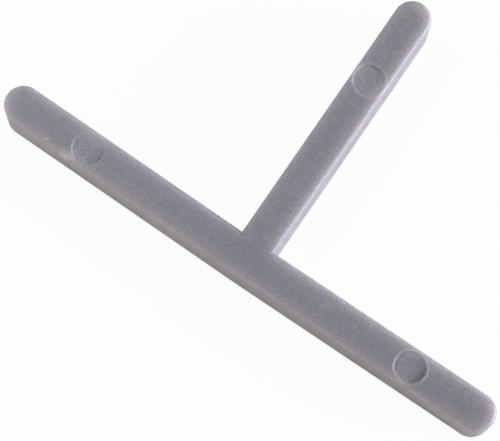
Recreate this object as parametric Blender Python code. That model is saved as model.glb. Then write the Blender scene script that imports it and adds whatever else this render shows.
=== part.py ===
"""T-shaped tile spacer, moulded in one piece of soft grey plastic.

Tilers push it into the gap where two tiles meet a third: the bar lies along the straight edge
of the long joint, the stem goes up between the two tiles that meet there, and the leg width
sets the joint. The spacer is modelled lying flat, as it comes out of the bag.

Frame: metres, +Z up. The origin is on the flat underside, where the bar's middle line and the
stem's middle line cross. The bar runs along X and the stem points to +Y.
"""
import math

import bmesh
import bpy
from mathutils import Vector

MM = 0.001

# Plan, seen from above. The leg width is the joint that the spacer sets.
LEG_WIDTH = 3.0 * MM        # across the top of the bar and of the stem
BAR_LENGTH = 45.0 * MM      # from end to end, before the arms bow
STEM_LENGTH = 22.75 * MM    # from the bar's flank to the tip
ARM_BOW = math.radians(0.4)  # each arm leans this far towards the stem, as the moulding cooled

# Section, from the flat underside up.
HEIGHT = 5.0 * MM
DRAFT_ANGLE = math.radians(0.6)  # the flanks lean in by this much, so that the mould lets go
EDGE_ROUND = 0.42 * MM      # radius of the rolled upper edge

# Ejector marks: a pin pushed into the soft top near the end of each leg.
PIN_DIAMETER = 2.5 * MM
PIN_DEPTH = 0.10 * MM
BAR_PIN_TO_END = 7.6 * MM   # from the pin's middle to the end of the bar
STEM_PIN_TO_END = 7.5 * MM  # from the pin's middle to the stem's tip
RIM_WIDTH = 0.22 * MM       # the low ring of plastic that rose round the pin
RIM_HEIGHT = 0.04 * MM

# Fineness of the round stretches.
END_SEGMENTS = 28           # along the half circle at the end of a leg
EDGE_SEGMENTS = 7           # across the rolled upper edge
PIN_SEGMENTS = 48           # round an ejector mark
RIM_SEGMENTS = 5            # from the rim's crest down to its foot

PLASTIC_COLOUR = (0.235, 0.225, 0.260, 1.0)
PLASTIC_ROUGHNESS = 0.5

OBJECT_NAME = "tile_spacer"


def clear_scene():
    for old in list(bpy.data.objects):
        bpy.data.objects.remove(old, do_unlink=True)


def make_collection(name):
    collection = bpy.data.collections.new(name)
    bpy.context.scene.collection.children.link(collection)
    return collection


def plastic():
    material = bpy.data.materials.new("spacer_plastic")
    material.use_nodes = True
    shader = material.node_tree.nodes["Principled BSDF"]
    shader.inputs["Base Color"].default_value = PLASTIC_COLOUR
    shader.inputs["Roughness"].default_value = PLASTIC_ROUGHNESS
    shader.inputs["Metallic"].default_value = 0.0
    return material


def foot_half_width():
    """Half of the leg's width at the underside, where the draft has made it widest."""
    return LEG_WIDTH / 2 + HEIGHT * math.tan(DRAFT_ANGLE)


def arm_direction(side):
    """Unit vector along an arm: side is +1 for the arm at +X and -1 for the one at -X."""
    return Vector((side * math.cos(ARM_BOW), math.sin(ARM_BOW)))


def arm_point(side, along):
    """A point on an arm's middle line, at a distance from where the legs cross."""
    return arm_direction(side) * along


def stem_point(below_tip):
    """A point on the stem's middle line, at a distance below its tip."""
    return Vector((0.0, LEG_WIDTH / 2 + STEM_LENGTH - below_tip))


def half_circle(centre, radius, heading):
    """Points round the end of a leg that points along heading, anticlockwise."""
    points = []
    for step in range(END_SEGMENTS + 1):
        angle = heading - math.pi / 2 + math.pi * step / END_SEGMENTS
        points.append(centre + Vector((math.cos(angle), math.sin(angle))) * radius)
    return points


def inner_corner(side, half):
    """Where the arm's upper flank meets the stem's flank."""
    along = (half + half * math.sin(ARM_BOW)) / math.cos(ARM_BOW)
    up_from_arm = Vector((-side * math.sin(ARM_BOW), math.cos(ARM_BOW)))
    return arm_point(side, along) + up_from_arm * half


def plan_outline(half):
    """The T's outline at a half width, anticlockwise from the +X arm's end."""
    to_cap = BAR_LENGTH / 2 - LEG_WIDTH / 2
    tip = stem_point(LEG_WIDTH / 2)
    back_of_bow = Vector((0.0, -half / math.cos(ARM_BOW)))
    outline = half_circle(arm_point(1, to_cap), half, ARM_BOW)
    outline.append(inner_corner(1, half))
    outline += half_circle(tip, half, math.pi / 2)
    outline.append(inner_corner(-1, half))
    outline += half_circle(arm_point(-1, to_cap), half, math.pi - ARM_BOW)
    outline.append(back_of_bow)
    return outline


def moulded_body(collection):
    """The T: its outline raised with draft, and the upper edge rolled over."""
    bm = bmesh.new()
    foot = [bm.verts.new((p.x, p.y, 0.0)) for p in plan_outline(foot_half_width())]
    top = bm.faces.new(foot)
    bm.normal_update()
    bmesh.ops.inset_region(bm, faces=[top], thickness=HEIGHT * math.tan(DRAFT_ANGLE),
                           depth=HEIGHT, use_even_offset=True, use_boundary=True)
    bmesh.ops.bevel(bm, geom=list(top.edges), offset=EDGE_ROUND, offset_type='OFFSET',
                    segments=EDGE_SEGMENTS, profile=0.5, affect='EDGES',
                    clamp_overlap=False, material=-1)
    open_edges = [edge for edge in bm.edges if edge.is_boundary]
    bmesh.ops.contextual_create(bm, geom=open_edges)
    bmesh.ops.recalc_face_normals(bm, faces=bm.faces)
    return add_object(bm, OBJECT_NAME, collection)


def add_object(bm, name, collection):
    mesh = bpy.data.meshes.new(name)
    bm.to_mesh(mesh)
    bm.free()
    made = bpy.data.objects.new(name, mesh)
    collection.objects.link(made)
    return made


def turned(profile, name, collection, place):
    """A solid of revolution about Z from its (radius, height) profile, set down at a place."""
    bm = bmesh.new()
    row = [bm.verts.new((radius, 0.0, height)) for radius, height in profile]
    line = [bm.edges.new(pair) for pair in zip(row, row[1:])]
    bmesh.ops.spin(bm, geom=row + line, axis=(0, 0, 1), cent=(0, 0, 0), angle=math.tau,
                   steps=PIN_SEGMENTS, use_merge=True)
    bmesh.ops.remove_doubles(bm, verts=bm.verts, dist=0.0005 * MM)
    bmesh.ops.recalc_face_normals(bm, faces=bm.faces)
    bmesh.ops.translate(bm, verts=bm.verts, vec=(place.x, place.y, HEIGHT))
    return add_object(bm, name, collection)


def rim_profile():
    """A low button. Its edge curves down past the top face, and into the rolled edge beside it."""
    crest = PIN_DIAMETER / 2
    foot = -EDGE_ROUND / 2
    profile = [(0.0, RIM_HEIGHT)]
    for step in range(RIM_SEGMENTS + 1):
        turn = math.pi / 2 * step / RIM_SEGMENTS
        height = foot + (RIM_HEIGHT - foot) * math.cos(turn)
        profile.append((crest + RIM_WIDTH * step / RIM_SEGMENTS, height))
    profile.append((0.0, foot))
    return profile


def pin_profile():
    """The pin that left the mark, from above the rim down to the mark's floor."""
    above = RIM_HEIGHT + EDGE_ROUND
    radius = PIN_DIAMETER / 2
    return [(0.0, above), (radius, above), (radius, -PIN_DEPTH), (0.0, -PIN_DEPTH)]


def pin_places():
    """The middles of the three ejector marks, by the leg that each is on."""
    along_bar = BAR_LENGTH / 2 - BAR_PIN_TO_END
    return {
        "left": arm_point(-1, along_bar),
        "right": arm_point(1, along_bar),
        "stem": stem_point(STEM_PIN_TO_END),
    }


def apply_boolean(body, other, operation):
    """Leaves a live Boolean on the body and hides the shape that it uses."""
    modifier = body.modifiers.new(f"{operation.lower()}_{other.name}", 'BOOLEAN')
    modifier.operation = operation
    modifier.solver = 'EXACT'
    modifier.object = other
    other.hide_render = True
    other.display_type = 'WIRE'


def press_ejector_marks(body, tools):
    for leg, place in pin_places().items():
        rim = turned(rim_profile(), f"rim_{leg}", tools, place)
        apply_boolean(body, rim, 'UNION')
        pin = turned(pin_profile(), f"pin_{leg}", tools, place)
        apply_boolean(body, pin, 'DIFFERENCE')


def shade(body):
    body.data.shade_smooth()
    body.data.set_sharp_from_angle(angle=math.radians(35))


def main():
    clear_scene()
    parts = make_collection(OBJECT_NAME)
    tools = make_collection("mould_tools")
    body = moulded_body(parts)
    body.data.materials.append(plastic())
    shade(body)
    press_ejector_marks(body, tools)


main()
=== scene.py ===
# %% [markdown]
# # A moulded tile spacer
# Tilers push this little T into the gap where three tiles meet. It is moulded in one shot from soft,
# slightly translucent polyethylene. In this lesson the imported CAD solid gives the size, a finer
# moulding is modelled around it with bmesh operators, and one plastic material gives it its look.

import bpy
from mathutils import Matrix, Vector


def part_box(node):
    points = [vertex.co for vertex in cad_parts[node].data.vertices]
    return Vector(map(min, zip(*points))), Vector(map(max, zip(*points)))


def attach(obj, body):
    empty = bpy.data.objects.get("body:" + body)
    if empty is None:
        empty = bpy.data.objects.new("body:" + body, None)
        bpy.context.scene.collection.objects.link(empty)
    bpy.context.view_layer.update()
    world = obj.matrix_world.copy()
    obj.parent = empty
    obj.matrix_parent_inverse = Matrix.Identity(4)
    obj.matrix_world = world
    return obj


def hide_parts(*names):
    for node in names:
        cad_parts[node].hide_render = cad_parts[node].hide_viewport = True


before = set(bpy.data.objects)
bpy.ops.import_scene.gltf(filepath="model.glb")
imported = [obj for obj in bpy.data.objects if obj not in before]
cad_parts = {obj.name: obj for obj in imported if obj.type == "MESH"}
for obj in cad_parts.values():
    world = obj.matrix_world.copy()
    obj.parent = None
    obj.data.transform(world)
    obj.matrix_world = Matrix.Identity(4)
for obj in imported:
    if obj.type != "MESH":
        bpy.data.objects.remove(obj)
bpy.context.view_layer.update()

# %% [markdown]
# ## Sizes
# Everything is in metres, because the frame is. A spacer is small, so each size below is written in
# millimetres and multiplied by MM. The reach of the legs could be typed in as well, but it is taken
# from the CAD node's box, so that the moulding can't drift away from it.

# %% Sizes of the moulding
import math

import bmesh
import bpy
from mathutils import Euler, Matrix, Vector

MM = 0.001
low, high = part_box("tile_spacer")

DRAFT_ANGLE = math.radians(0.6)     # the flanks lean in by this much from the foot up
ARM_BOW = math.radians(0.4)         # each arm of the bar leans this far towards the stem
HEIGHT = 5.0 * MM                   # from the flat underside to the top face
LEG_WIDTH = 3.0 * MM                # across the top of every leg
FOOT_HALF = LEG_WIDTH / 2 + HEIGHT * math.tan(DRAFT_ANGLE)
FOOT_SPREAD = FOOT_HALF - LEG_WIDTH / 2
ARM_REACH = high.x - FOOT_SPREAD    # from the crossing to the arm's end, at the top
STEM_REACH = high.y - FOOT_SPREAD   # from the crossing to the stem's tip, at the top
print("box of the node:", [round(value / MM, 2) for value in (*low, *high)], "mm")
print("arm", round(ARM_REACH / MM, 2), "stem", round(STEM_REACH / MM, 2), "mm")

# %% [markdown]
# ## The outline
# Seen from above, the spacer is a T whose legs end in half circles. It could be put together from three
# round-ended bars, but their crossing would need cleaning up. So the outline is made as one ring. Each
# half circle is one vertex spun about the middle of the leg's end, which keeps it a true arc however many
# steps it has, and plain edges join the arcs through the two sharp inner corners.

# %% Spin the three round ends
END_STEPS = 40                      # steps round each half circle


def leg_direction(heading):
    return Vector((math.cos(heading), math.sin(heading), 0.0))


def round_end(bm, reach, heading):
    """The half circle at the end of a leg, as vertices in anticlockwise order."""
    middle = leg_direction(heading) * (reach - LEG_WIDTH / 2)
    start = middle + leg_direction(heading - math.pi / 2) * FOOT_HALF
    first = bmesh.ops.create_vert(bm, co=start)["vert"][0]
    before = set(bm.verts)
    bmesh.ops.spin(bm, geom=[first], cent=middle, axis=(0, 0, 1), angle=math.pi, steps=END_STEPS)
    spun = [vert for vert in bm.verts if vert not in before]
    return [first] + spun


# %% Join them through the inner corners
def inner_corner(bm, side):
    """Where the flank of an arm meets the flank of the stem."""
    rise = FOOT_HALF / math.cos(ARM_BOW) + FOOT_HALF * math.tan(ARM_BOW)
    return bmesh.ops.create_vert(bm, co=(side * FOOT_HALF, rise, 0.0))["vert"][0]


def foot_outline(bm):
    back = bmesh.ops.create_vert(bm, co=(0.0, -FOOT_HALF / math.cos(ARM_BOW), 0.0))["vert"][0]
    right = round_end(bm, ARM_REACH / math.cos(ARM_BOW), ARM_BOW)
    stem = round_end(bm, STEM_REACH, math.pi / 2)
    left = round_end(bm, ARM_REACH / math.cos(ARM_BOW), math.pi - ARM_BOW)
    corners = inner_corner(bm, 1), inner_corner(bm, -1)
    return [back] + right + [corners[0]] + stem + [corners[1]] + left


def close_ring(bm, ring):
    for pair in zip(ring, ring[1:] + ring[:1]):
        if not bm.edges.get(pair):
            bm.edges.new(pair)


body = bmesh.new()
ring = foot_outline(body)
close_ring(body, ring)
print("outline:", len(ring), "vertices")

# %% [markdown]
# ## The section
# The mould has draft, so that the spacer slides out of it: every flank leans in a little on its way up.
# The upper edge is rolled, and the top is very slightly crowned. An extrusion and a bevel would give the
# flank and the roll, but not the crown. So the outline's one face is inset again and again, each time a
# little inwards and a little up, and the stack of insets draws the whole section.

# %% Points of the section
FLANK_STEPS = 4
EDGE_ROUND = 0.42 * MM              # radius of the rolled upper edge
EDGE_STEPS = 9
CROWN = 0.02 * MM                   # how much higher the middle of the top stands than its rim
CROWN_STEPS = 6
TOP_CENTRE = 0.3 * MM               # width of the flat strip that is left in the middle


def section():
    """Points of the section as (inwards from the foot, height), from the foot to the top."""
    flank_top = HEIGHT - CROWN - EDGE_ROUND
    lean = flank_top * math.tan(DRAFT_ANGLE)
    points = [(0.0, 0.0)]
    for step in range(1, FLANK_STEPS + 1):
        part = step / FLANK_STEPS
        points.append((lean * part, flank_top * part))
    for step in range(1, EDGE_STEPS + 1):
        turn = math.pi / 2 * step / EDGE_STEPS
        points.append((lean + EDGE_ROUND * (1 - math.cos(turn)), flank_top + EDGE_ROUND * math.sin(turn)))
    across = FOOT_HALF - lean - EDGE_ROUND - TOP_CENTRE / 2
    for step in range(1, CROWN_STEPS + 1):
        part = step / CROWN_STEPS
        points.append((lean + EDGE_ROUND + across * part, HEIGHT - CROWN + CROWN * part * (2 - part)))
    return points


stack = section()
print("section:", len(stack), "points, up to", round(stack[-1][1] / MM, 3), "mm")

# %% Raise the section from the outline
made = bmesh.ops.contextual_create(body, geom=list(body.edges))
top = made["faces"][0]
body.normal_update()
if top.normal.z < 0:
    top.normal_flip()
for (inner, height), (next_inner, next_height) in zip(stack, stack[1:]):
    bmesh.ops.inset_region(body, faces=[top], thickness=next_inner - inner,
                           depth=next_height - height, use_even_offset=True, use_boundary=True)
print("raised:", len(body.faces), "faces")

# %% [markdown]
# The underside lay on the flat half of the mould, and its edge is where the two halves met. Such an edge
# is never quite sharp, and a hard corner would catch no light at all. So the open bottom is filled with
# one face, and a narrow bevel blunts its edge.

# %% Close the underside and blunt its edge
FOOT_ROUND = 0.09 * MM              # radius of the edge that the spacer stands on
FOOT_STEPS = 4

foot_edges = [edge for edge in body.edges if edge.is_boundary]
bmesh.ops.contextual_create(body, geom=foot_edges)
bmesh.ops.bevel(body, geom=foot_edges, offset=FOOT_ROUND, offset_type='OFFSET', segments=FOOT_STEPS,
                profile=0.5, affect='EDGES', clamp_overlap=False, material=-1)
bmesh.ops.recalc_face_normals(body, faces=body.faces)
print("moulding:", len(body.faces), "faces,", round(body.calc_volume() / MM ** 3), "cubic mm")

# %% [markdown]
# The straight faces are still as long as the legs, and such long thin faces would smear the shading round
# the small marks that come next. Subdividing every edge would add faces where none are needed as well, so
# planes across the legs cut only the long faces short.

# %% Cut the long faces into short ones
STATION = 0.6 * MM                  # length of the pieces that the straight faces are cut into
WELD = 0.0005 * MM                  # vertices that are nearer than this are one


def cut_across(bm, axis, start, end):
    """Bisects the moulding at every station along an axis."""
    stations = round((end - start) / STATION)
    for station in range(1, stations):
        place = axis * (start + (end - start) * station / stations)
        bmesh.ops.bisect_plane(bm, geom=list(bm.verts) + list(bm.edges) + list(bm.faces),
                               plane_co=place, plane_no=axis, dist=WELD)


cut_across(body, Vector((1, 0, 0)), FOOT_HALF, ARM_REACH - LEG_WIDTH / 2)
cut_across(body, Vector((-1, 0, 0)), FOOT_HALF, ARM_REACH - LEG_WIDTH / 2)
cut_across(body, Vector((0, 1, 0)), FOOT_HALF, STEM_REACH - LEG_WIDTH / 2)
print("cut across:", len(body.faces), "faces")

# %% [markdown]
# ## From bmesh to object
# A bmesh is only a mesh on the workbench. It is seen once it is the mesh of an object. The object could
# be moved to its place, but it stays at the origin, unturned and unscaled, with its place in its mesh,
# so that patterns on its coordinates stay where they are when it is exported.

# %% Turn a bmesh into an object
def as_object(bm, name):
    mesh = bpy.data.meshes.new(name)
    bm.to_mesh(mesh)
    bm.free()
    made = bpy.data.objects.new(name, mesh)
    bpy.context.scene.collection.objects.link(made)
    return made


moulding = as_object(body, "moulded_spacer")
print(moulding.name, "is", [round(size / MM, 2) for size in moulding.dimensions], "mm")

# %% [markdown]
# ## Ejector marks
# Three pins push the spacer out of its mould while the plastic is still soft. Each leaves a shallow
# round mark with a flat floor, a little deeper on one side because no pin stands quite true. Plastic
# that crept into the gap round the pin stands up as a thin bead. Bumps in a material could fake both, but
# they would be missing from the mesh, so both are modelled. Both are round as well, so each is a profile
# spun about an upright axis, which is quicker to change than a cylinder with bevelled rims.

# %% Places of the three marks
PIN_TO_END = {"left": 7.66 * MM, "right": 7.57 * MM, "stem": 7.48 * MM}
PIN_PLACES = {
    "left": leg_direction(math.pi - ARM_BOW) * (ARM_REACH - PIN_TO_END["left"]),
    "right": leg_direction(ARM_BOW) * (ARM_REACH - PIN_TO_END["right"]),
    "stem": leg_direction(math.pi / 2) * (STEM_REACH - PIN_TO_END["stem"]),
}
PIN_RADIUS = 1.25 * MM
for leg, place in PIN_PLACES.items():
    print(leg, "mark at", [round(value / MM, 2) for value in place[:2]], "mm")


# %% Spin a profile about an upright axis
TURN_STEPS = 96


def turned(profile, closed):
    """A profile of (radius, height) points, spun a full turn about Z."""
    bm = bmesh.new()
    row = [bmesh.ops.create_vert(bm, co=(radius, 0, height))["vert"][0] for radius, height in profile]
    ends = row[1:] + row[:1] if closed else row[1:]
    line = [bm.edges.new(pair) for pair in zip(row, ends)]
    bmesh.ops.spin(bm, geom=row + line, cent=(0, 0, 0), axis=(0, 0, 1), angle=math.tau,
                   steps=TURN_STEPS, use_merge=True)
    bmesh.ops.remove_doubles(bm, verts=bm.verts, dist=WELD)
    bmesh.ops.recalc_face_normals(bm, faces=bm.faces)
    return bm


def arc(centre, radius, start, end, steps):
    """Points of an arc in the (radius, height) plane, with its angles in quarter turns."""
    points = []
    for step in range(steps + 1):
        turn = math.pi / 2 * (start + (end - start) * step / steps)
        points.append((centre[0] + radius * math.cos(turn), centre[1] + radius * math.sin(turn)))
    return points


# %% [markdown]
# ## The beads
# On a flat plate, a turned ring joined to the top would do for a bead. These marks are nearly as wide as
# the leg, so the bead has to bend down and fade over the rolled edges. It is spun as a ring in the air,
# and a ray straight down from each vertex finds how far the moulding lies below the top there. The vertex
# drops by as much, and a little more where the bead fades.

# %% The bead round a mark
BEAD_RADIUS = 0.09 * MM             # of the round section, most of which is sunk in the moulding
BEAD_RISE = 0.038 * MM
BEAD_OUT = {"left": 0.035 * MM, "right": 0.095 * MM, "stem": 0.095 * MM}  # from the pin to the crest
BEAD_HIGH_SIDE = {"left": 205, "right": 190, "stem": 200}      # degrees from +X
BEAD_SLOPE = {"left": 1.8, "right": 0.1, "stem": 0.5}          # 1 buries it a quarter turn away
BEAD_FADE = 0.06 * MM               # the bead is gone where the edge has rolled down this far
BEAD_SUNK = 2.0                     # and nowhere sinks by more than this many times its rise
BEAD_STEPS = 16


def bead(leg, surface):
    """A ring round the pin that follows the moulding, and sinks into it over the rolled edges."""
    place, high_side = PIN_PLACES[leg], leg_direction(math.radians(BEAD_HIGH_SIDE[leg]))
    section_middle = PIN_RADIUS + BEAD_OUT[leg], BEAD_RISE - BEAD_RADIUS
    bm = turned(arc(section_middle, BEAD_RADIUS, 0, 4, BEAD_STEPS)[:-1], closed=True)
    for vert in bm.verts:
        above = Vector((place.x + vert.co.x, place.y + vert.co.y, 2 * HEIGHT))
        where = surface.ray_cast(above, Vector((0, 0, -1)))[1]
        turned_away = 1 - vert.co.xy.normalized().dot(high_side.xy)
        faded = (HEIGHT - where.z) / BEAD_FADE + turned_away * BEAD_SLOPE[leg]
        vert.co += Vector((place.x, place.y, where.z - min(faded, BEAD_SUNK) * BEAD_RISE))
    return bm


bpy.context.view_layer.update()
beads = [as_object(bead(leg, moulding), f"bead_{leg}") for leg in PIN_PLACES]
print("beads:", [len(ring.data.polygons) for ring in beads], "faces")

# %% [markdown]
# ## The pins
# The end of a pin is flat, with a corner that wear has blunted. A disc inset into the top would give a
# flat floor too, but only a level one, and it would need an edge in just the right place. So the pin's
# end is turned as a tool of its own and leans by about a degree.

# %% The pin that leaves a mark
PIN_DEPTH = {"left": 0.08 * MM, "right": 0.16 * MM, "stem": 0.10 * MM}
PIN_LEAN = {"left": 1.0, "right": 1.5, "stem": 1.2}            # degrees
DEEP_SIDES = {"left": -18, "right": -5, "stem": 75}            # degrees from +X
PIN_CORNER = 0.04 * MM              # the mark's floor turns up into its wall with this radius
PIN_CORNER_STEPS = 5


def pin(leg):
    """The pin's end, leaning so that it presses deeper on one side."""
    clear_above = 2 * EDGE_ROUND
    corner = arc((PIN_RADIUS - PIN_CORNER, PIN_CORNER), PIN_CORNER, 3, 4, PIN_CORNER_STEPS)
    profile = [(0.0, 0.0)] + corner + [(PIN_RADIUS, clear_above), (0.0, clear_above)]
    bm = turned(profile, closed=False)
    across = leg_direction(math.radians(DEEP_SIDES[leg] + 90))
    lean = Matrix.Rotation(math.radians(PIN_LEAN[leg]), 3, across)
    bmesh.ops.rotate(bm, verts=bm.verts, cent=(0, 0, 0), matrix=lean)
    floor_middle = PIN_PLACES[leg] + Vector((0, 0, HEIGHT - PIN_DEPTH[leg]))
    bmesh.ops.translate(bm, verts=bm.verts, vec=floor_middle)
    return bm


pins = [as_object(pin(leg), f"pin_{leg}") for leg in PIN_PLACES]
for tool in pins:
    deepest = min(vert.co.z for vert in tool.data.vertices)
    print(tool.name, "presses down to", round(deepest / MM, 3), "mm")

# %% [markdown]
# A Boolean joins each bead to the moulding or takes a pin out of it, wherever the two surfaces cross. It
# could stay live as a modifier, but then its tool would have to stay in the scene. So each one is applied
# at once, and its tool is removed.

# %% Join the beads and press the pins
def apply_boolean(target, tool, operation):
    modifier = target.modifiers.new(tool.name, 'BOOLEAN')
    modifier.operation = operation
    modifier.solver = 'EXACT'
    modifier.object = tool
    bpy.context.view_layer.update()
    result = bpy.data.meshes.new_from_object(target.evaluated_get(bpy.context.evaluated_depsgraph_get()))
    target.modifiers.clear()
    target.data = result
    bpy.data.objects.remove(tool)


for ring in beads:
    apply_boolean(moulding, ring, 'UNION')
for tool in pins:
    apply_boolean(moulding, tool, 'DIFFERENCE')
print("moulding with marks:", len(moulding.data.polygons), "faces")

# %% [markdown]
# ## A dent
# Loose in a bag, the spacers knock against each other. One knock, near the end of the right arm, left a
# dent. It could be pushed in by hand, but a little ball taken out of the top is easier to place and to
# measure.

# %% The dent near the right end
DENT_PLACE = Vector((19.385, 1.034, 5.0)) * MM
DENT_RADIUS = 0.12 * MM
DENT_DEPTH = 0.07 * MM

ball = bmesh.new()
bmesh.ops.create_uvsphere(ball, u_segments=16, v_segments=12, radius=DENT_RADIUS)
bmesh.ops.translate(ball, verts=ball.verts, vec=DENT_PLACE + Vector((0, 0, DENT_RADIUS - DENT_DEPTH)))
apply_boolean(moulding, as_object(ball, "knock"), 'DIFFERENCE')
print("moulding with dent:", len(moulding.data.polygons), "faces")

# %% [markdown]
# ## Smooth faces and sharp corners
# Light runs smoothly over the real rolled edges, and smooth shading does the same for the faces that
# stand for them. It would also blur the corners that really are sharp: the inner corners of the T and
# the walls of the marks. So every edge that turns by more than a set angle stays sharp.

# %% Shade the moulding
SHARP_ANGLE = math.radians(32)

moulding.data.shade_smooth()
moulding.data.set_sharp_from_angle(angle=SHARP_ANGLE)
sharp_edges = [edge for edge in moulding.data.edges if edge.use_edge_sharp]
print("sharp edges:", len(sharp_edges), "of", len(moulding.data.edges))

# %% [markdown]
# The end of a pin is ground steel, so what it pressed has a finish of its own. Part of the paler tone of
# these floors is painted light, though: it lifts the shade that the low lamps leave in the shallow floors.
# A second material on these faces would need all of the first one's nodes again. Instead, an attribute
# tells the faces of the three floors apart, and the one material reads it further down.

# %% Tell the pressed floors apart
FACES_UP = 0.9                      # a floor's normal points up by at least this much

pressed = moulding.data.attributes.new("pressed", 'FLOAT', 'FACE')
for face in moulding.data.polygons:
    from_pin = min((face.center.xy - place.xy).length for place in PIN_PLACES.values())
    on_floor = from_pin < PIN_RADIUS - PIN_CORNER and face.normal.z > FACES_UP
    pressed.data[face.index].value = float(on_floor)
print("pressed faces:", round(sum(item.value for item in pressed.data)))

# %% [markdown]
# ## The plastic
# Low-density polyethylene, coloured grey in the melt. It is a little translucent: light that enters a
# flank spreads a few millimetres through it, red further than blue, so every edge glows and the glow
# is warmer than the middle. The mould was finished by spark erosion, which covers the surface with
# shallow craters about a fifth of a millimetre across. They take away any sharp gloss and give the
# fine mottle. The pigment isn't quite even either. An image could hold all this, but a noise of the same
# size in object coordinates needs no unwrapping and never repeats, so it mixes two tones of the grey.

# %% Hex colours to linear light
def linear(hex_colour):
    """An sRGB hex colour as linear RGBA."""
    channels = [int(hex_colour[i:i + 2], 16) / 255 for i in (1, 3, 5)]
    straight = [c / 12.92 if c <= 0.04045 else ((c + 0.055) / 1.055) ** 2.4 for c in channels]
    return (*straight, 1.0)


WHITE = linear("#FFFFFF")
print("white is", WHITE)


# %% Start a material and add nodes to it
def add_node(tree, kind, settings=None, inputs=None):
    """Adds a node, sets its properties, and sets or links its inputs, by name or by number."""
    node = tree.nodes.new(kind)
    for name, value in (settings or {}).items():
        setattr(node, name, value)
    for key, value in (inputs or {}).items():
        if isinstance(value, bpy.types.NodeSocket):
            tree.links.new(value, node.inputs[key])
        else:
            node.inputs[key].default_value = value
    return node


def new_material(name):
    made = bpy.data.materials.new(name)
    made.use_nodes = True
    made.node_tree.nodes.clear()
    return made, made.node_tree


# %% The grey of the plastic
PLASTIC_DARK = "#7F7B88"
PLASTIC_LIGHT = "#9A97A5"
# painted light in part: the pressed floors are paler, to lift the shade that the low lamps leave in them
PRESSED_DARK = "#807E8C"            # what the pins pressed is a little paler
PRESSED_LIGHT = "#A19FAD"
MOTTLE = 0.16 * MM                  # width of a patch of lighter or darker grey
ALL_DARK, ALL_LIGHT = 0.3, 0.7      # values of the noise at which a patch is all dark or all light

plastic, tree = new_material("grey_polyethylene")
place_on_part = add_node(tree, "ShaderNodeTexCoord").outputs["Object"]
mottle = add_node(tree, "ShaderNodeTexNoise", None, {"Vector": place_on_part, "Scale": 1 / MOTTLE,
                                                     "Detail": 2.0, "Roughness": 0.8}).outputs["Fac"]
share = add_node(tree, "ShaderNodeMapRange", None, {"Value": mottle, "From Min": ALL_DARK,
                                                    "From Max": ALL_LIGHT}).outputs["Result"]
moulded = add_node(tree, "ShaderNodeMixRGB", None, {
    "Fac": share, "Color1": linear(PLASTIC_DARK), "Color2": linear(PLASTIC_LIGHT)})
floors = add_node(tree, "ShaderNodeMixRGB", None, {
    "Fac": share, "Color1": linear(PRESSED_DARK), "Color2": linear(PRESSED_LIGHT)})
by_pin = add_node(tree, "ShaderNodeAttribute", {"attribute_name": "pressed"})
grey = add_node(tree, "ShaderNodeMixRGB", None, {
    "Fac": by_pin.outputs["Fac"], "Color1": moulded.outputs["Color"],
    "Color2": floors.outputs["Color"]}).outputs["Color"]
print("grey made by", len(tree.nodes), "nodes")

# %% [markdown]
# ## Whitening, and a painted highlight
# Polyethylene turns white where it is bent or knocked. So there is a white spot at each knock, and a
# faint white ring round each mark, where the plastic was pushed up. The ring is whiter on the side where
# the bead stands highest. Four of the spots, on the front of the rolled edge beside the left mark, come
# from no knock: they are a painted highlight, for the light that a small bulge of the crest there would
# catch. The spots could be painted on, but a mask worked out from the distance to a place on the part
# stays sharp from near by and can be moved by changing one number.

# %% Distances on the part
# also the colour of the painted highlight on the left arm's front crest
WHITENING_AND_HIGHLIGHT = "#D0CACF"
SMOOTH = {"interpolation_type": 'SMOOTHSTEP'}


def distance_from(point, squash=Vector((1, 1, 1))):
    """Distance to a point on the part, with height counted less where squash is less than 1."""
    squashed = add_node(tree, "ShaderNodeVectorMath", {"operation": 'MULTIPLY'}, {
        0: place_on_part, 1: squash})
    point = Vector(part * factor for part, factor in zip(point, squash))
    away = add_node(tree, "ShaderNodeVectorMath", {"operation": 'DISTANCE'}, {
        0: squashed.outputs["Vector"], 1: point})
    return away.outputs["Value"]


def distance_towards(point, heading):
    """How far a place lies from a point in one level direction, in degrees from +X."""
    from_point = add_node(tree, "ShaderNodeVectorMath", {"operation": 'SUBTRACT'}, {
        0: place_on_part, 1: point})
    along = add_node(tree, "ShaderNodeVectorMath", {"operation": 'DOT_PRODUCT'}, {
        0: from_point.outputs["Vector"], 1: leg_direction(math.radians(heading))})
    return along.outputs["Value"]


def tint_where(colour, mask, strength, tint):
    """The colour, turned towards a tint by as much as the mask times the strength."""
    masked = add_node(tree, "ShaderNodeMath", {"operation": 'MULTIPLY'}, {0: mask, 1: strength})
    mixed = add_node(tree, "ShaderNodeMixRGB", None, {
        "Fac": masked.outputs["Value"], "Color1": colour, "Color2": linear(tint)})
    return mixed.outputs["Color"]


# %% Knocks that whitened the plastic, and a painted highlight by the left mark
KNOCKS_AND_HIGHLIGHT = [                          # x, y, z, width and height in millimetres, and how white
    # the first four rows are a painted highlight on the front crest beside the left mark, not knocks
    (-16.39, -1.39, 4.16, 0.40, 1.40, 0.9),
    (-16.05, -1.40, 4.20, 0.46, 1.50, 0.9),
    (-15.75, -1.20, 4.80, 1.30, 1.40, 0.3),
    (-16.30, -1.25, 4.80, 1.00, 1.20, 0.2),
    (-18.05, -1.12, 4.95, 0.26, 0.26, 0.5),
    (-17.86, -1.01, 4.98, 0.26, 0.26, 0.7),
    (-0.77, 1.35, 5.00, 0.24, 0.24, 0.4),
    (-0.88, 1.65, 5.00, 0.22, 0.22, 0.4),
    (-0.78, 1.91, 5.00, 0.22, 0.22, 0.4),
    (-0.50, 1.91, 5.00, 0.20, 0.20, 0.4),
    (-0.41, 1.50, 5.00, 0.20, 0.20, 0.4),
    (6.70, 0.16, 5.00, 0.26, 0.26, 0.35),
    (6.91, 0.12, 5.00, 0.26, 0.26, 0.35),
    (6.98, 0.36, 5.00, 0.24, 0.24, 0.4),
    (7.03, 0.62, 5.00, 0.24, 0.24, 0.4),
    (7.14, 0.37, 5.00, 0.20, 0.20, 0.35),
]

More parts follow.
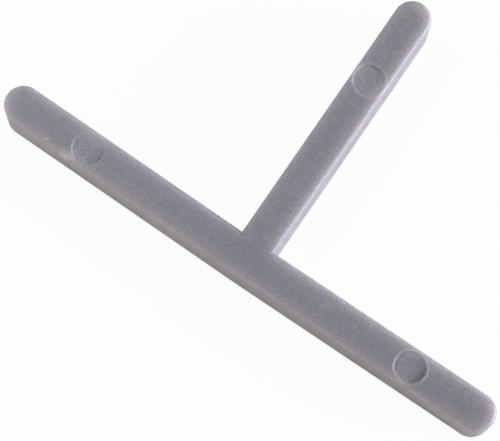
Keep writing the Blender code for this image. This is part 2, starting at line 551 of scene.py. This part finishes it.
for x, y, z, width, height, lightening in KNOCKS_AND_HIGHLIGHT:
    away = distance_from(Vector((x, y, z)) * MM, Vector((1, 1, width / height)))
    spot = add_node(tree, "ShaderNodeMapRange", SMOOTH, {
        "Value": away, "From Min": 0.0, "From Max": width * MM / 2, "To Min": 1.0, "To Max": 0.0})
    grey = tint_where(grey, spot.outputs["Result"], lightening, WHITENING_AND_HIGHLIGHT)
print("knocks_and_highlight:", len(KNOCKS_AND_HIGHLIGHT))

# %% The whitened ring round each mark
RING_RADIUS = {"left": 1.31 * MM, "right": 1.33 * MM, "stem": 1.33 * MM}
RING_REACH = 0.16 * MM              # the whitening fades out this far from the ring's crest
RING_WHITENESS = {"left": 0.1, "right": 0.1, "stem": 0.16}     # all round
RING_EXTRA = {"left": 0.3, "right": 0.08, "stem": 0.36}        # more on the bead's high side
RING_EXTRA_SIDE = {"left": 215, "right": 190, "stem": 182}     # degrees from +X
RING_EXTRA_FROM = 0.7 * PIN_RADIUS  # the extra starts this far from the middle, on that side

for leg, place in PIN_PLACES.items():
    middle = place + Vector((0, 0, HEIGHT))
    from_ring = add_node(tree, "ShaderNodeMath", {"operation": 'SUBTRACT'}, {
        0: distance_from(middle), 1: RING_RADIUS[leg]})
    off_ring = add_node(tree, "ShaderNodeMath", {"operation": 'ABSOLUTE'}, {0: from_ring.outputs["Value"]})
    on_ring = add_node(tree, "ShaderNodeMapRange", SMOOTH, {
        "Value": off_ring.outputs["Value"], "From Min": 0.0, "From Max": RING_REACH,
        "To Min": 1.0, "To Max": 0.0})
    lightening = add_node(tree, "ShaderNodeMapRange", SMOOTH, {
        "Value": distance_towards(middle, RING_EXTRA_SIDE[leg]),
        "From Min": RING_EXTRA_FROM, "From Max": RING_RADIUS[leg],
        "To Min": RING_WHITENESS[leg], "To Max": RING_WHITENESS[leg] + RING_EXTRA[leg]})
    grey = tint_where(grey, on_ring.outputs["Result"], lightening.outputs["Result"], WHITENING_AND_HIGHLIGHT)
print("whitened by", len(tree.nodes), "nodes so far")

# %% [markdown]
# ## Painted shade in the marks
# The deep corner of two of the marks is painted darker. This is painted shade: it stands for the shadow
# that the mark's wall casts on its floor under the low key lamp. The corner could be darkened by how
# hidden it lies, but that would darken the inner corners of the T too. So the same two masks are used:
# being inside the mark, and lying towards its deep side.

# %% Painted shade in the deep corner of two marks
# painted shade: the dark tone laid into the deep corner of a mark, for the shadow of its wall
PAINTED_SHADE = "#4E474C"
SHADED_SIDE = {"left": -25, "right": -9}    # degrees from +X
SHADE_SHARE = {"left": 0.18, "right": 0.36}
SHADE_FROM = 0.5 * PIN_RADIUS       # it starts this far from the middle, on that side

for leg, side in SHADED_SIDE.items():
    middle = PIN_PLACES[leg] + Vector((0, 0, HEIGHT))
    in_mark = add_node(tree, "ShaderNodeMapRange", SMOOTH, {
        "Value": distance_from(middle), "From Min": PIN_RADIUS - PIN_CORNER,
        "From Max": PIN_RADIUS + PIN_CORNER, "To Min": 1.0, "To Max": 0.0})
    shade_amount = add_node(tree, "ShaderNodeMapRange", SMOOTH, {
        "Value": distance_towards(middle, side), "From Min": SHADE_FROM, "From Max": PIN_RADIUS,
        "To Min": 0.0, "To Max": SHADE_SHARE[leg]})
    grey = tint_where(grey, in_mark.outputs["Result"], shade_amount.outputs["Result"], PAINTED_SHADE)
print("painted_shade in the marks:", list(SHADED_SIDE))

# %% [markdown]
# ## Craters, gloss and translucency
# The craters are only two thousandths of a millimetre deep, which changes no outline. To model them would
# cost a million faces, so here a bump is enough. The gloss varies with the mottle between two values that
# are usual for a spark-eroded mould. The translucency is the shader's own subsurface scattering.

# %% Put the plastic together
CRATER = 0.2 * MM                   # across one crater of the spark-eroded mould
CRATER_DEPTH = 0.002 * MM
GLOSSIEST, DULLEST = 0.40, 0.50     # roughness

craters = add_node(tree, "ShaderNodeTexVoronoi", {"feature": 'SMOOTH_F1'}, {
    "Vector": place_on_part, "Scale": 1 / CRATER, "Smoothness": 0.5})
bump = add_node(tree, "ShaderNodeBump", None, {
    "Height": craters.outputs["Distance"], "Distance": CRATER_DEPTH})
gloss = add_node(tree, "ShaderNodeMapRange", None, {
    "Value": mottle, "From Min": ALL_DARK, "From Max": ALL_LIGHT, "To Min": GLOSSIEST, "To Max": DULLEST})
shader = add_node(tree, "ShaderNodeBsdfPrincipled", None, {
    "Base Color": grey,
    "Roughness": gloss.outputs["Result"],
    "Normal": bump.outputs["Normal"],
    "IOR": 1.51,                    # of polyethylene
    "Specular IOR Level": 0.35,     # lower than usual, because the craters take off some of the gloss
    "Subsurface Weight": 0.7,
    "Subsurface Radius": (1.0, 0.95, 0.72),    # red goes furthest
    "Subsurface Scale": 5.0 * MM,
})
add_node(tree, "ShaderNodeOutputMaterial", None, {"Surface": shader.outputs["BSDF"]})
moulding.data.materials.clear()
moulding.data.materials.append(plastic)
print(plastic.name, "has", len(tree.nodes), "nodes")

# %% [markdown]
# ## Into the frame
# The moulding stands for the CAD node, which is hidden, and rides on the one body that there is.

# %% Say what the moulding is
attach(moulding, "root")
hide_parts("tile_spacer")
print(moulding.name, "takes the place of the CAD node")

# %% [markdown]
# ## The studio
# Small goods like this are shown on plain white, from a light tent. Stronger lamps would make the floor
# white, but the spacer too pale. So the floor itself is part plain white, as the camera sees it, and part
# white paint, which shows the spacer's shadow. The broad key lamp stands low beyond the right arm, four
# weaker ones round the other sides, and a trace of plain light comes from everywhere.

# %% Floor
FLOOR_SIZE = 1.2
WHITE_SHARE = 0.94                  # of what the camera sees of the floor; the rest keeps the shadow

sweep = bmesh.new()
bmesh.ops.create_grid(sweep, x_segments=1, y_segments=1, size=FLOOR_SIZE / 2)
floor = as_object(sweep, "floor")
white_paint, tree = new_material("white_sweep")
painted = add_node(tree, "ShaderNodeBsdfDiffuse", None, {"Color": linear("#F4F4F4")})
seen = add_node(tree, "ShaderNodeEmission", None, {"Color": WHITE, "Strength": 1.0})
path = add_node(tree, "ShaderNodeLightPath")
white_share = add_node(tree, "ShaderNodeMath", {"operation": 'MULTIPLY'}, {
    0: path.outputs["Is Camera Ray"], 1: WHITE_SHARE})
both = add_node(tree, "ShaderNodeMixShader", None, {
    0: white_share.outputs["Value"], 1: painted.outputs["BSDF"], 2: seen.outputs["Emission"]})
add_node(tree, "ShaderNodeOutputMaterial", None, {"Surface": both.outputs["Shader"]})
floor.data.materials.append(white_paint)
print("floor:", FLOOR_SIZE, "m wide")

# %% Light all round
AMBIENT = 0.02                      # of the light that a white room would give

world = bpy.data.worlds.new("studio")
bpy.context.scene.world = world
world.use_nodes = True
tree = world.node_tree
tree.nodes.clear()
sky = add_node(tree, "ShaderNodeBackground", None, {"Color": WHITE, "Strength": AMBIENT})
add_node(tree, "ShaderNodeOutputWorld", None, {"Surface": sky.outputs["Background"]})
print("light all round:", AMBIENT)


# %% Lamps
def area_lamp(name, azimuth, elevation, distance, size, power, colour):
    """A round lamp that looks at the origin, with its place in degrees and metres."""
    lamp = bpy.data.lights.new(name, 'AREA')
    lamp.shape = 'DISK'
    lamp.size = size
    lamp.energy = power
    lamp.color = linear(colour)[:3]
    made = bpy.data.objects.new(name, lamp)
    bpy.context.scene.collection.objects.link(made)
    turn = Euler((math.radians(90 - elevation), 0, math.radians(azimuth + 90)))
    made.rotation_euler = turn
    made.location = turn.to_matrix() @ Vector((0, 0, distance))
    return made


area_lamp("key", azimuth=23, elevation=8, distance=0.7, size=0.385, power=9.9, colour="#FFFFFF")
area_lamp("high_back", azimuth=90, elevation=45, distance=0.5, size=0.25, power=0.68, colour="#FFFEF4")
area_lamp("high_left", azimuth=180, elevation=45, distance=0.25, size=0.18, power=0.34, colour="#F4FBFF")
area_lamp("low_left", azimuth=225, elevation=8, distance=0.17, size=0.085, power=0.09, colour="#FFF1C8")
area_lamp("low_front", azimuth=270, elevation=8, distance=0.3, size=0.15, power=0.375, colour="#FFF5E8")
print("lamps:", [lamp.name for lamp in bpy.data.lights])

# %% [markdown]
# ## The camera
# It looks almost straight down, from the side of the bar, as the reference view does. It could track an
# empty at the spacer's middle, but three angles say more plainly where it stands: round the spacer, away
# from straight down, and about its own line of sight.

# %% Camera
VIEW_TARGET = Vector((-1.4718, 2.5147, 5.0)) * MM
VIEW_DISTANCE = 197.63 * MM
VIEW_AZIMUTH = math.radians(-61.51)
VIEW_TILT = math.radians(9.171)     # away from straight down
VIEW_ROLL = math.radians(5.88)
LENS = 185.95
SENSOR_WIDTH = 36
NEAREST = 0.001                     # nothing nearer to the camera than this is drawn

camera = bpy.data.objects.new("camera", bpy.data.cameras.new("camera"))
bpy.context.scene.collection.objects.link(camera)
turn = Euler((VIEW_TILT, 0, VIEW_AZIMUTH + math.pi / 2)).to_matrix() @ Matrix.Rotation(VIEW_ROLL, 3, 'Z')
camera.rotation_euler = turn.to_euler()
camera.location = VIEW_TARGET + turn @ Vector((0, 0, VIEW_DISTANCE))
camera.data.sensor_width = SENSOR_WIDTH
camera.data.lens = LENS
camera.data.clip_start = NEAREST
bpy.context.scene.camera = camera
bpy.context.scene.view_settings.view_transform = 'Standard'
print("camera at", [round(value / MM, 1) for value in camera.location], "mm")
